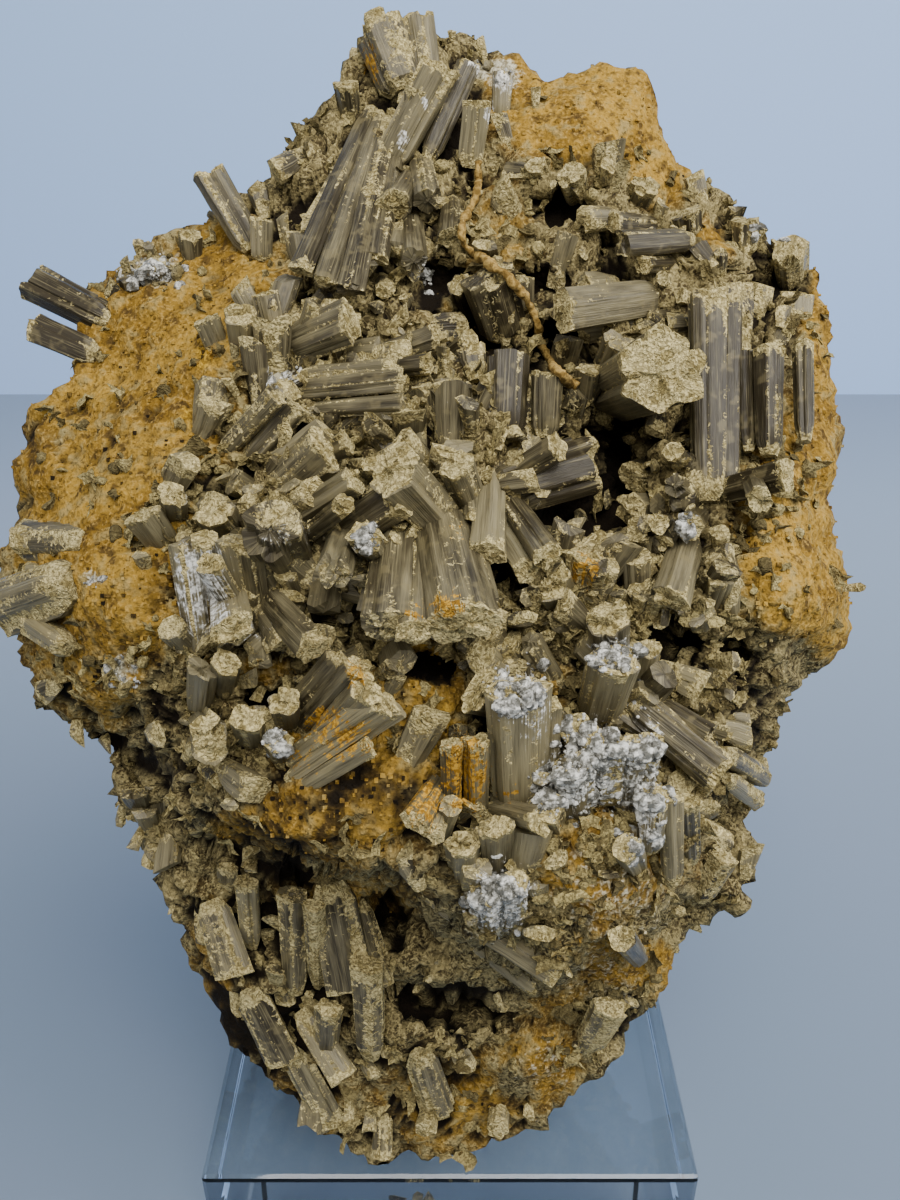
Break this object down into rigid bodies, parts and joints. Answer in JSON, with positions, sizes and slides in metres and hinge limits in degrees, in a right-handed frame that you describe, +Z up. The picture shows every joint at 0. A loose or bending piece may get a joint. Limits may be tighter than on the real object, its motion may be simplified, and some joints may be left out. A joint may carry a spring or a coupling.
{
  "type": "mineral specimen",
  "caption": "Aragonite specimen of smoky six-sided columns grown out of an ochre earthy matrix, standing on a clear acrylic block.",
  "frame": {"origin": "centre of the acrylic block's flat underside", "axes": "+Z up, the way the specimen stands; -Y towards the side shown, with the crystals; +X to the right of that side"},
  "size_m": [0.1144, 0.1017, 0.173],
  "materials": {
    "clear_acrylic": "polished, clear",
    "ochre_matrix": "rough, granular",
    "smoky_aragonite": "striated, slightly see-through"
  },
  "bodies": {
    "root": {"acrylic_block": "clear_acrylic", "matrix": "ochre_matrix", "crown_block": "smoky_aragonite", "top_fan": "smoky_aragonite", "upper_left_spike": "smoky_aragonite", "left_edge_pair": "smoky_aragonite", "slab_sheaf": "smoky_aragonite", "plank_sheaf": "smoky_aragonite", "long_blades": "smoky_aragonite", "box_crystal": "smoky_aragonite", "ragged_prism": "smoky_aragonite", "capped_stub": "smoky_aragonite", "tall_columns": "smoky_aragonite", "hexagon_cap_sheaf": "smoky_aragonite", "finger_sheaf": "smoky_aragonite", "twin_columns": "smoky_aragonite", "zebra_block": "smoky_aragonite", "stained_fan": "smoky_aragonite", "drusy_prism": "smoky_aragonite", "stained_columns": "smoky_aragonite", "drusy_mass": "smoky_aragonite", "slanting_prism": "smoky_aragonite"}
  },
  "joints": []
}
